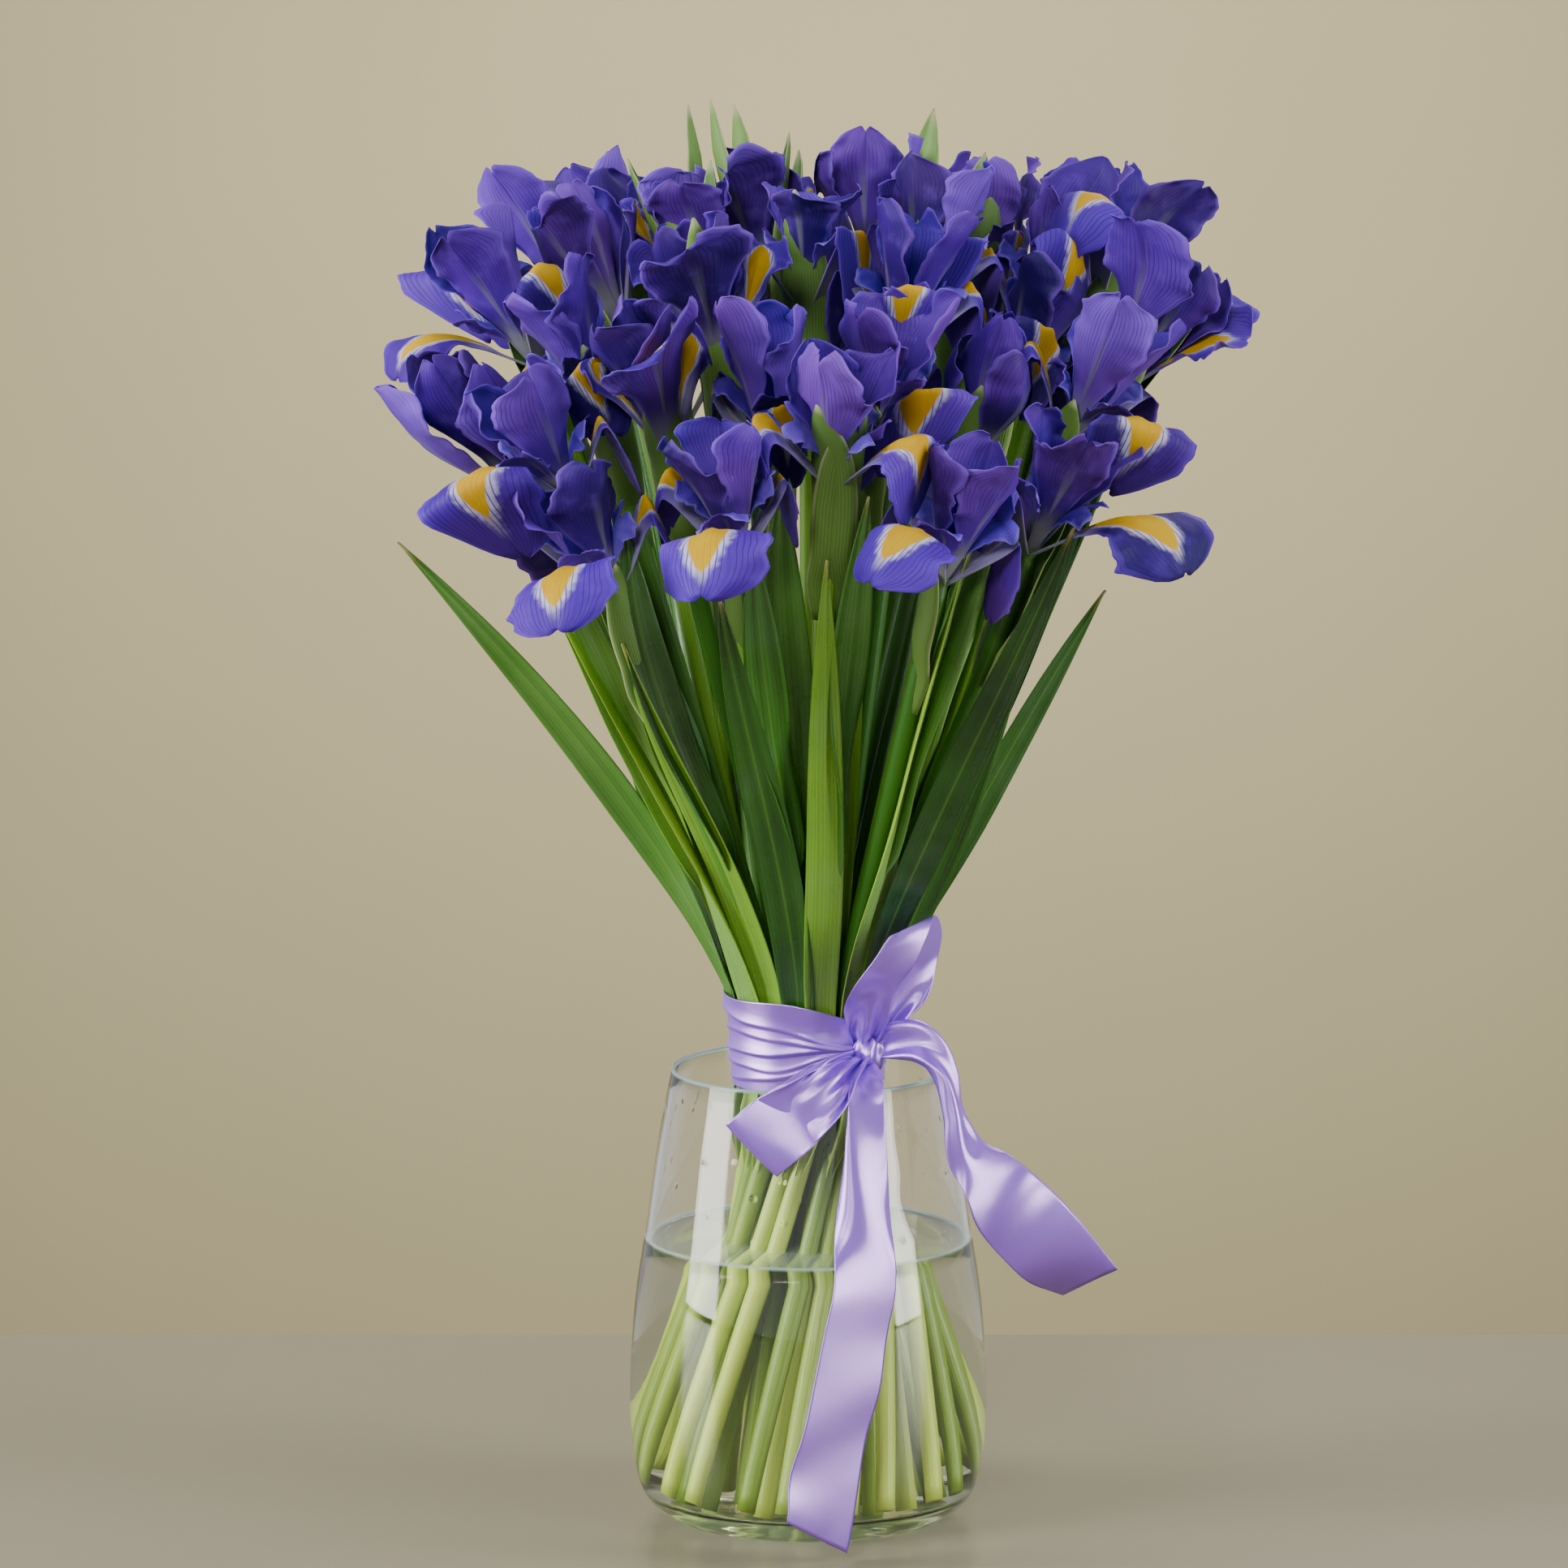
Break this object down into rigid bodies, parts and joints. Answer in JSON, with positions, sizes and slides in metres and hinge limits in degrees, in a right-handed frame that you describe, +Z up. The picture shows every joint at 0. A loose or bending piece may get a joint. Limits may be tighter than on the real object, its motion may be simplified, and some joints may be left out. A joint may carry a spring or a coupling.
{
  "type": "vase of cut irises",
  "caption": "Hand-tied bouquet of violet-blue irises with narrow green leaves, tied with a lilac satin ribbon and standing in a clear glass vase of water.",
  "frame": {"origin": "centre of the vase's flat foot, on the table", "axes": "+Z up through the vase and bouquet, +X to the right as seen from the front, -Y towards the front"},
  "size_m": [0.4071, 0.3877, 0.6277],
  "materials": {
    "glass": "clear polished glass",
    "greenery": "satin leaf and stem green, stands for plant tissue",
    "petal": "soft violet-blue petals, stands for plant tissue",
    "water": "clear still water",
    "satin": "glossy satin weave"
  },
  "bodies": {
    "root": {"vase": "glass", "stems_01": "greenery", "stems_02": "greenery", "stems_03": "greenery", "stems_04": "greenery", "stems_05": "greenery", "stems_06": "greenery", "stems_07": "greenery", "stems_08": "greenery", "stems_09": "greenery", "stems_10": "greenery", "stems_11": "greenery", "stems_12": "greenery", "stems_13": "greenery", "stems_14": "greenery", "stems_15": "greenery", "stems_16": "greenery", "stems_17": "greenery", "stems_18": "greenery", "bloom_01": "petal", "bloom_02": "petal", "bloom_03": "petal", "bloom_04": "petal", "bloom_05": "petal", "bloom_06": "petal", "bloom_07": "petal", "bloom_08": "petal", "bloom_09": "petal", "bloom_10": "petal", "bloom_11": "petal", "bloom_12": "petal", "bloom_13": "petal", "bloom_14": "petal", "bloom_15": "petal", "bloom_16": "petal", "bloom_17": "petal", "bloom_18": "petal", "bloom_19": "petal", "bloom_20": "petal", "bloom_21": "petal", "bloom_22": "petal", "bloom_23": "petal", "bloom_24": "petal", "bloom_25": "petal", "bloom_26": "petal", "bloom_27": "petal", "bloom_28": "petal", "bloom_29": "petal", "bloom_30": "petal", "bloom_31": "petal", "bloom_32": "petal", "bloom_33": "petal", "bloom_34": "petal", "bloom_35": "petal", "bloom_36": "petal", "bloom_37": "petal", "water": "water", "ribbon": "satin"}
  },
  "joints": []
}
